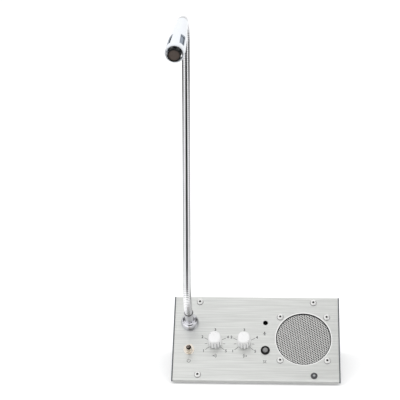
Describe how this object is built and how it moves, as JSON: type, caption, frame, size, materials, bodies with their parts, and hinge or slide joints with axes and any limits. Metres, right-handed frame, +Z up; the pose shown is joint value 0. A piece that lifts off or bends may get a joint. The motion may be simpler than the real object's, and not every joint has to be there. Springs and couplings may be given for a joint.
{
  "type": "teller window intercom",
  "caption": "Sloped desk intercom with a gooseneck microphone, a round perforated loudspeaker grille, two fluted level knobs, a toggle and a lamp.",
  "frame": {"origin": "centre of the overall box in plan, on the counter under the rubber feet", "axes": "+Z up, +X to the right of someone facing the panel, +Y away from them towards the rear wall"},
  "size_m": [0.1748, 0.1415, 0.383],
  "materials": {
    "brushed_panel": "brushed, satin",
    "case_paint": "fine textured powder coat",
    "zinc_steel": "zinc plated",
    "screw_steel": "bright nickel",
    "foot_rubber": "matt",
    "mesh_metal": "perforated, satin",
    "basket_steel": "satin paint",
    "cone_paper": "treated paper",
    "coil_copper": "enamelled winding",
    "ferrite": "sintered",
    "neck_chrome": "mirror chrome",
    "mic_white": "bright chrome",
    "mic_grey": "fine mesh lining",
    "boot_black": "matt",
    "capsule_felt": "felt face",
    "black_plastic": "moulded",
    "lamp_grey": "unlit lens",
    "switch_blue": "moulded body",
    "switch_nickel": "warm nickel",
    "control_metal": "stamped can",
    "knob_silver": "silver-white plastic",
    "board_green": "solder mask",
    "capacitor_sleeve": "shrink sleeve"
  },
  "bodies": {
    "housing": {"front_panel": "brushed_panel", "base_case": "case_paint", "rail_front": "zinc_steel", "rail_rear": "zinc_steel", "cover_screws": "screw_steel", "foot_1": "foot_rubber", "foot_2": "foot_rubber", "foot_3": "foot_rubber", "foot_4": "foot_rubber", "foot_screws": "screw_steel", "speaker_mesh": "mesh_metal", "speaker_screws": "screw_steel", "speaker_nuts": "zinc_steel", "speaker_basket": "basket_steel", "speaker_surround": "foot_rubber", "speaker_spider": "capsule_felt", "speaker_magnet": "ferrite", "speaker_yoke": "zinc_steel", "neck_flange": "neck_chrome", "neck_nut": "zinc_steel", "neck_root": "neck_chrome", "panel_mic_boot": "boot_black", "panel_mic_capsule": "black_plastic", "lamp_bezel": "black_plastic", "lamp_lens": "lamp_grey", "switch_body": "switch_blue", "switch_washer": "switch_nickel", "switch_nut": "switch_nickel", "pot_talk": "control_metal", "pot_listen": "control_metal", "pot_nuts": "zinc_steel", "circuit_board": "board_green", "board_spacers": "zinc_steel", "board_capacitors": "capacitor_sleeve", "socket_power": "black_plastic", "socket_window_unit": "black_plastic", "socket_record": "black_plastic", "socket_nuts": "zinc_steel"},
    "cone": {"speaker_cone": "cone_paper", "speaker_coil": "coil_copper"},
    "lower_neck": {"neck_flex_root": "neck_chrome", "neck_lower": "neck_chrome"},
    "stem": {"neck_flex_side": "neck_chrome", "neck_stem": "neck_chrome"},
    "microphone": {"neck_flex_top": "neck_chrome", "neck_crook": "neck_chrome", "mic_end_ring": "control_metal", "mic_rear_cone": "mic_white", "mic_housing": "mic_white", "mic_liner": "mic_grey", "mic_boot": "boot_black", "mic_capsule": "capsule_felt"},
    "power_lever": {"switch_lever": "switch_nickel"},
    "talk_knob": {"knob_talk": "knob_silver", "shaft_talk": "control_metal"},
    "listen_knob": {"knob_listen": "knob_silver", "shaft_listen": "control_metal"}
  },
  "joints": [
    {"name": "neck_root_bend", "type": "hinge", "parent": "housing", "child": "lower_neck", "pos_m": [-0.07, 0.01427, 0.08451], "axis": [1, 0, 0], "range_deg": [-20, 20], "deforming": ["neck_flex_root"]},
    {"name": "neck_side_bend", "type": "hinge", "parent": "lower_neck", "child": "stem", "pos_m": [-0.06946, 0.0162, 0.1458], "axis": [0, 1, 0], "range_deg": [-20, 20], "deforming": ["neck_flex_side"]},
    {"name": "neck_top_bend", "type": "hinge", "parent": "stem", "child": "microphone", "pos_m": [-0.06688, 0.03357, 0.35894], "axis": [1, 0, 0], "range_deg": [-20, 20], "deforming": ["neck_flex_top"]},
    {"name": "power_toggle", "type": "hinge", "parent": "housing", "child": "power_lever", "pos_m": [-0.07, 0.01666, 0.02905], "axis": [-1, 0, 0], "range_deg": [0, 28]},
    {"name": "talk_level", "type": "hinge", "parent": "housing", "child": "talk_knob", "pos_m": [-0.043, 0.02469, 0.03161], "axis": [0, -0.6428, 0.766], "range_deg": [-128, 128]},
    {"name": "listen_level", "type": "hinge", "parent": "housing", "child": "listen_knob", "pos_m": [-0.0125, 0.02469, 0.03161], "axis": [0, -0.6428, 0.766], "range_deg": [-128, 128]},
    {"name": "cone_stroke", "type": "slide", "parent": "housing", "child": "cone", "axis": [0, -0.6428, 0.766], "range_m": [-0.0008, 0.0008], "stiffness_N_per_m": 300, "deforming": ["speaker_surround", "speaker_spider"]}
  ]
}
